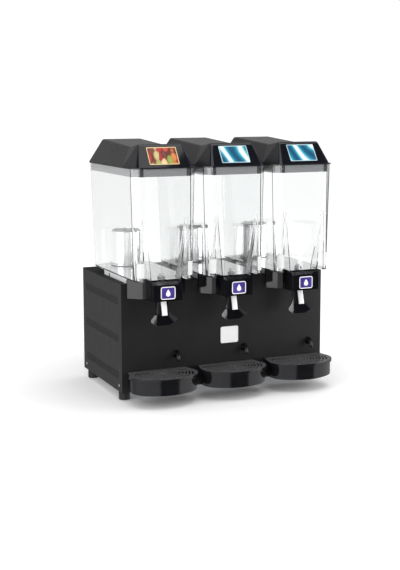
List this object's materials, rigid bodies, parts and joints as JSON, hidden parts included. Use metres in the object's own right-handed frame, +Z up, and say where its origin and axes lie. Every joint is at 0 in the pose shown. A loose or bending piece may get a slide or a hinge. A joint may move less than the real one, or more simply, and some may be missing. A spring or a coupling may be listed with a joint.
{
  "type": "cold drink dispenser",
  "caption": "Countertop cold drink dispenser: clear lift-off bowls with lids and lever taps over evaporators, on a refrigerated cabinet with pull-out drip trays.",
  "frame": {"origin": "on the floor under the middle of the whole object's bounding box", "axes": "+X to the right seen from the front, +Y towards the rear panel, +Z up"},
  "size_m": [0.66, 0.485, 0.75],
  "materials": {
    "front_black": "fine powder coat",
    "side_charcoal": "fine powder coat",
    "inner_steel": "plain zinc-coated sheet",
    "clear_bowl": "clear polished moulding",
    "gloss_black": "glossy moulding",
    "satin_black": "satin moulding",
    "white_plastic": "glossy moulding",
    "stainless": "fine polished",
    "rubber_black": "matt",
    "copper": "drawn copper tube",
    "aluminium_fin": "plain fins",
    "motor_grey": "plain paint",
    "compressor_black": "black enamel",
    "panel_blue": "smooth inset with a plain colour pattern",
    "switch_green": "glossy"
  },
  "bodies": {
    "cabinet": {"base_plate": "inner_steel", "front_panel": "front_black", "left_side_panel": "side_charcoal", "right_side_panel": "side_charcoal", "rear_panel": "side_charcoal", "top_deck": "front_black", "feet": "rubber_black", "panel_screws": "stainless", "compressor": "compressor_black", "condenser": "aluminium_fin", "fan_motor": "motor_grey", "refrigerant_pipes": "copper", "power_inlet": "satin_black", "mixer_motors": "motor_grey", "drain_spouts": "gloss_black", "bowl_gaskets": "rubber_black", "switch_housings": "satin_black", "left_evaporator": "stainless", "middle_evaporator": "stainless", "right_evaporator": "stainless"},
    "fan": {"fan_blade": "satin_black"},
    "cooling_rocker": {"cooling_switch": "switch_green"},
    "mixer_rocker": {"mixer_switch": "gloss_black"},
    "knob": {"thermostat_knob": "satin_black"},
    "left_bowl": {"left_bowl": "clear_bowl", "left_bowl_clips": "white_plastic", "left_tap_cover": "gloss_black", "left_tap_spout": "white_plastic"},
    "left_lid": {"left_lid": "gloss_black", "left_lid_panel": "panel_blue"},
    "left_lever": {"left_tap_lever": "gloss_black"},
    "left_valve": {"left_valve_stem": "white_plastic"},
    "left_tray": {"left_drip_tray": "satin_black"},
    "left_grid": {"left_drip_grid": "satin_black"},
    "left_mixer": {"left_impeller": "white_plastic", "left_drive_magnet": "motor_grey"},
    "middle_bowl": {"middle_bowl": "clear_bowl", "middle_bowl_clips": "white_plastic", "middle_tap_cover": "gloss_black", "middle_tap_spout": "white_plastic"},
    "middle_lid": {"middle_lid": "gloss_black", "middle_lid_panel": "panel_blue"},
    "middle_lever": {"middle_tap_lever": "gloss_black"},
    "middle_valve": {"middle_valve_stem": "white_plastic"},
    "middle_tray": {"middle_drip_tray": "satin_black"},
    "middle_grid": {"middle_drip_grid": "satin_black"},
    "middle_mixer": {"middle_impeller": "white_plastic", "middle_drive_magnet": "motor_grey"},
    "right_bowl": {"right_bowl": "clear_bowl", "right_bowl_clips": "white_plastic", "right_tap_cover": "gloss_black", "right_tap_spout": "white_plastic"},
    "right_lid": {"right_lid": "gloss_black", "right_lid_panel": "panel_blue"},
    "right_lever": {"right_tap_lever": "gloss_black"},
    "right_valve": {"right_valve_stem": "white_plastic"},
    "right_tray": {"right_drip_tray": "satin_black"},
    "right_grid": {"right_drip_grid": "satin_black"},
    "right_mixer": {"right_impeller": "white_plastic", "right_drive_magnet": "motor_grey"}
  },
  "joints": [
    {"name": "left_bowl_lift", "type": "slide", "parent": "cabinet", "child": "left_bowl", "axis": [0, 0, 1], "range_m": [0, 0.25]},
    {"name": "left_lid_lift", "type": "slide", "parent": "left_bowl", "child": "left_lid", "axis": [0, 0, 1], "range_m": [0, 0.15]},
    {"name": "left_lever_push", "type": "hinge", "parent": "left_bowl", "child": "left_lever", "pos_m": [-0.222, -0.17295, 0.32419], "axis": [1, 0, 0], "range_deg": [0, 20], "stiffness_Nm_per_rad": 0.5},
    {"name": "left_valve_lift", "type": "slide", "parent": "left_bowl", "child": "left_valve", "axis": [0, 0.2487, 0.9686], "range_m": [0, 0.0055]},
    {"name": "left_tray_pull", "type": "slide", "parent": "cabinet", "child": "left_tray", "axis": [0, -1, 0], "range_m": [0, 0.15]},
    {"name": "left_grid_lift", "type": "slide", "parent": "left_tray", "child": "left_grid", "axis": [0, 0, 1], "range_m": [0, 0.018]},
    {"name": "left_mixer_spin", "type": "hinge", "parent": "cabinet", "child": "left_mixer", "pos_m": [-0.222, 0.1285, 0.475], "axis": [0, 0, 1], "continuous": true},
    {"name": "middle_bowl_lift", "type": "slide", "parent": "cabinet", "child": "middle_bowl", "axis": [0, 0, 1], "range_m": [0, 0.25]},
    {"name": "middle_lid_lift", "type": "slide", "parent": "middle_bowl", "child": "middle_lid", "axis": [0, 0, 1], "range_m": [0, 0.15]},
    {"name": "middle_lever_push", "type": "hinge", "parent": "middle_bowl", "child": "middle_lever", "pos_m": [0, -0.17295, 0.32419], "axis": [1, 0, 0], "range_deg": [0, 20], "stiffness_Nm_per_rad": 0.5},
    {"name": "middle_valve_lift", "type": "slide", "parent": "middle_bowl", "child": "middle_valve", "axis": [0, 0.2487, 0.9686], "range_m": [0, 0.0055]},
    {"name": "middle_tray_pull", "type": "slide", "parent": "cabinet", "child": "middle_tray", "axis": [0, -1, 0], "range_m": [0, 0.15]},
    {"name": "middle_grid_lift", "type": "slide", "parent": "middle_tray", "child": "middle_grid", "axis": [0, 0, 1], "range_m": [0, 0.018]},
    {"name": "middle_mixer_spin", "type": "hinge", "parent": "cabinet", "child": "middle_mixer", "pos_m": [0, 0.1285, 0.475], "axis": [0, 0, 1], "continuous": true},
    {"name": "right_bowl_lift", "type": "slide", "parent": "cabinet", "child": "right_bowl", "axis": [0, 0, 1], "range_m": [0, 0.25]},
    {"name": "right_lid_lift", "type": "slide", "parent": "right_bowl", "child": "right_lid", "axis": [0, 0, 1], "range_m": [0, 0.15]},
    {"name": "right_lever_push", "type": "hinge", "parent": "right_bowl", "child": "right_lever", "pos_m": [0.222, -0.17295, 0.32419], "axis": [1, 0, 0], "range_deg": [0, 20], "stiffness_Nm_per_rad": 0.5},
    {"name": "right_valve_lift", "type": "slide", "parent": "right_bowl", "child": "right_valve", "axis": [0, 0.2487, 0.9686], "range_m": [0, 0.0055]},
    {"name": "right_tray_pull", "type": "slide", "parent": "cabinet", "child": "right_tray", "axis": [0, -1, 0], "range_m": [0, 0.15]},
    {"name": "right_grid_lift", "type": "slide", "parent": "right_tray", "child": "right_grid", "axis": [0, 0, 1], "range_m": [0, 0.018]},
    {"name": "right_mixer_spin", "type": "hinge", "parent": "cabinet", "child": "right_mixer", "pos_m": [0.222, 0.1285, 0.475], "axis": [0, 0, 1], "continuous": true},
    {"name": "fan_spin", "type": "hinge", "parent": "cabinet", "child": "fan", "pos_m": [-0.2533, 0.058, 0.1222], "axis": [1, 0, 0], "continuous": true},
    {"name": "cooling_rock", "type": "hinge", "parent": "cabinet", "child": "cooling_rocker", "pos_m": [-0.25, 0.2245, 0.277], "axis": [1, 0, 0], "range_deg": [0, 20]},
    {"name": "mixer_rock", "type": "hinge", "parent": "cabinet", "child": "mixer_rocker", "pos_m": [-0.205, 0.2245, 0.277], "axis": [1, 0, 0], "range_deg": [0, 20]},
    {"name": "thermostat_turn", "type": "hinge", "parent": "cabinet", "child": "knob", "pos_m": [-0.15, 0.2245, 0.277], "axis": [0, -1, 0], "range_deg": [0, 270]}
  ],
  "couplings": [
    {"joint": "left_valve_lift", "follows": "left_lever_push", "m_per_rad": 0.01425},
    {"joint": "middle_valve_lift", "follows": "middle_lever_push", "m_per_rad": 0.01425},
    {"joint": "right_valve_lift", "follows": "right_lever_push", "m_per_rad": 0.01425}
  ]
}
